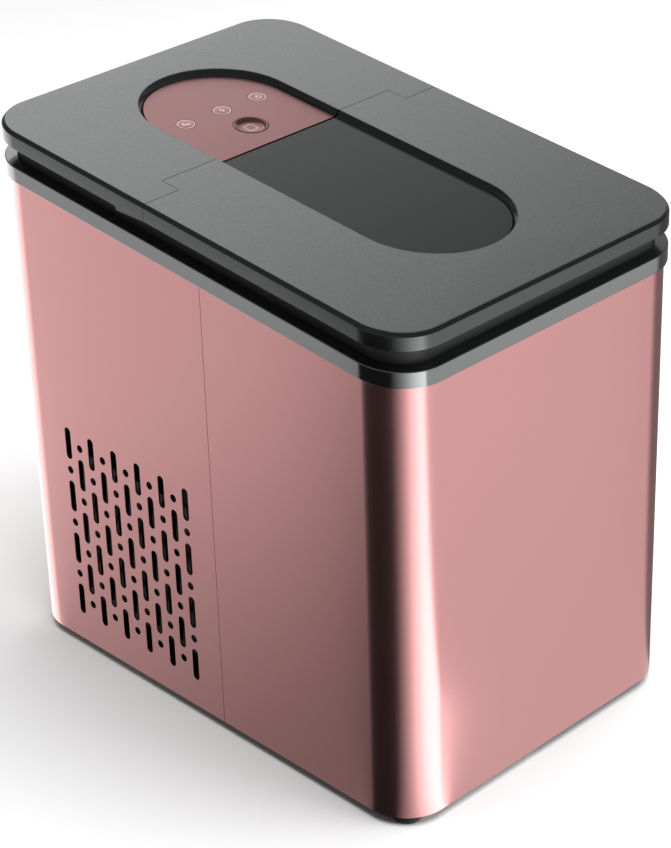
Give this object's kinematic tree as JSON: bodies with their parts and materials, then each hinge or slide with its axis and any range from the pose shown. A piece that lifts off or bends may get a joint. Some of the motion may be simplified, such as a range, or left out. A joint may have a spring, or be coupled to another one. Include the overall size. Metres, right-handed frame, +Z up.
{
  "type": "countertop ice maker",
  "caption": "Tall rounded countertop bullet ice maker with a sloping top, hinged lid with smoked window, ice basket, tipping water tray and slotted sides.",
  "frame": {"origin": "centre of the footprint, at the bottom of the feet", "axes": "+Z up, the front faces -Y, and +X is to the right of someone who faces the front"},
  "size_m": [0.2464, 0.3574, 0.3651],
  "materials": {
    "rose_gold_paint": "satin rose-gold lacquer with a soft sheen",
    "satin_gunmetal": "satin, fine-grained gunmetal",
    "satin_steel": "satin",
    "black_plastic": "matte",
    "grey_plastic": "fine matte",
    "smoked_glass": "smoked, glossy",
    "clear_plastic": "translucent, glossy",
    "rubber": "matte",
    "foam": "dark expanded beads",
    "copper": "drawn copper tube",
    "nickel": "nickel plate",
    "aluminium": "mill finish fins",
    "black_enamel": "black enamel",
    "circuit_board": "green solder mask",
    "silicone": "milky silicone"
  },
  "bodies": {
    "housing": {"base_plate": "black_plastic", "button_switch": "black_plastic", "capillary_tube": "copper", "compressor": "black_enamel", "compressor_mount": "satin_steel", "condenser": "aluminium", "control_board": "circuit_board", "control_panel": "rose_gold_paint", "discharge_tube": "copper", "drain_hose": "silicone", "drain_outlet": "black_plastic", "evaporator_block": "nickel", "evaporator_tube": "copper", "fan_motor": "black_enamel", "fan_shroud": "black_plastic", "filter_drier": "copper", "foam_insulation": "foam", "foot_front_left": "rubber", "foot_front_right": "rubber", "foot_rear_left": "rubber", "foot_rear_right": "rubber", "front_casing": "rose_gold_paint", "hinge_pin_left": "satin_steel", "hinge_pin_right": "satin_steel", "hot_gas_valve": "black_plastic", "ice_chute": "grey_plastic", "ice_sensor_left": "black_plastic", "ice_sensor_right": "black_plastic", "indicator_lens_centre": "clear_plastic", "indicator_lens_left": "clear_plastic", "indicator_lens_right": "clear_plastic", "inner_tank": "grey_plastic", "level_sensor_stem": "grey_plastic", "power_board": "circuit_board", "power_inlet": "black_plastic", "pump_suction_hose": "silicone", "rear_casing": "rose_gold_paint", "rear_cover": "satin_gunmetal", "rear_screw_low_left": "satin_steel", "rear_screw_low_right": "satin_steel", "rear_screw_top_left": "satin_steel", "rear_screw_top_right": "satin_steel", "suction_tube": "copper", "top_frame": "black_plastic", "tray_bush": "grey_plastic", "tray_fill_hose": "silicone", "tray_motor": "grey_plastic", "trim_band": "satin_steel", "water_pump": "black_plastic"},
    "lid": {"lid_cover": "satin_gunmetal", "lid_window": "smoked_glass", "lid_inner_frame": "black_plastic", "lid_seal": "rubber"},
    "button": {"power_button": "rose_gold_paint"},
    "tray": {"water_tray": "clear_plastic", "ice_pusher": "grey_plastic"},
    "basket": {"ice_basket": "clear_plastic"},
    "float": {"water_float": "grey_plastic"},
    "fan": {"cooling_fan": "black_plastic"},
    "plug": {"drain_plug": "silicone"}
  },
  "joints": [
    {"name": "lid_hinge", "type": "hinge", "parent": "housing", "child": "lid", "pos_m": [0, 0.035, 0.34782], "axis": [-1, 0, 0], "range_deg": [0, 100]},
    {"name": "power_button_press", "type": "slide", "parent": "housing", "child": "button", "axis": [0, 0.0965, -0.9953], "range_m": [0, 0.001], "stiffness_N_per_m": 600, "springref_m": -0.0008},
    {"name": "tray_tilt", "type": "hinge", "parent": "housing", "child": "tray", "pos_m": [0, -0.013, 0.262], "axis": [1, 0, 0], "range_deg": [0, 85]},
    {"name": "basket_lift", "type": "slide", "parent": "housing", "child": "basket", "axis": [0, 0, 1], "range_m": [0, 0.1]},
    {"name": "float_rise", "type": "slide", "parent": "housing", "child": "float", "axis": [0, 0, 1], "range_m": [0, 0.02]},
    {"name": "fan_spin", "type": "hinge", "parent": "housing", "child": "fan", "pos_m": [-0.0888, 0.066, 0.097], "axis": [-1, 0, 0], "continuous": true},
    {"name": "drain_plug_pull", "type": "slide", "parent": "housing", "child": "plug", "axis": [0, 1, 0], "range_m": [0, 0.02]}
  ]
}
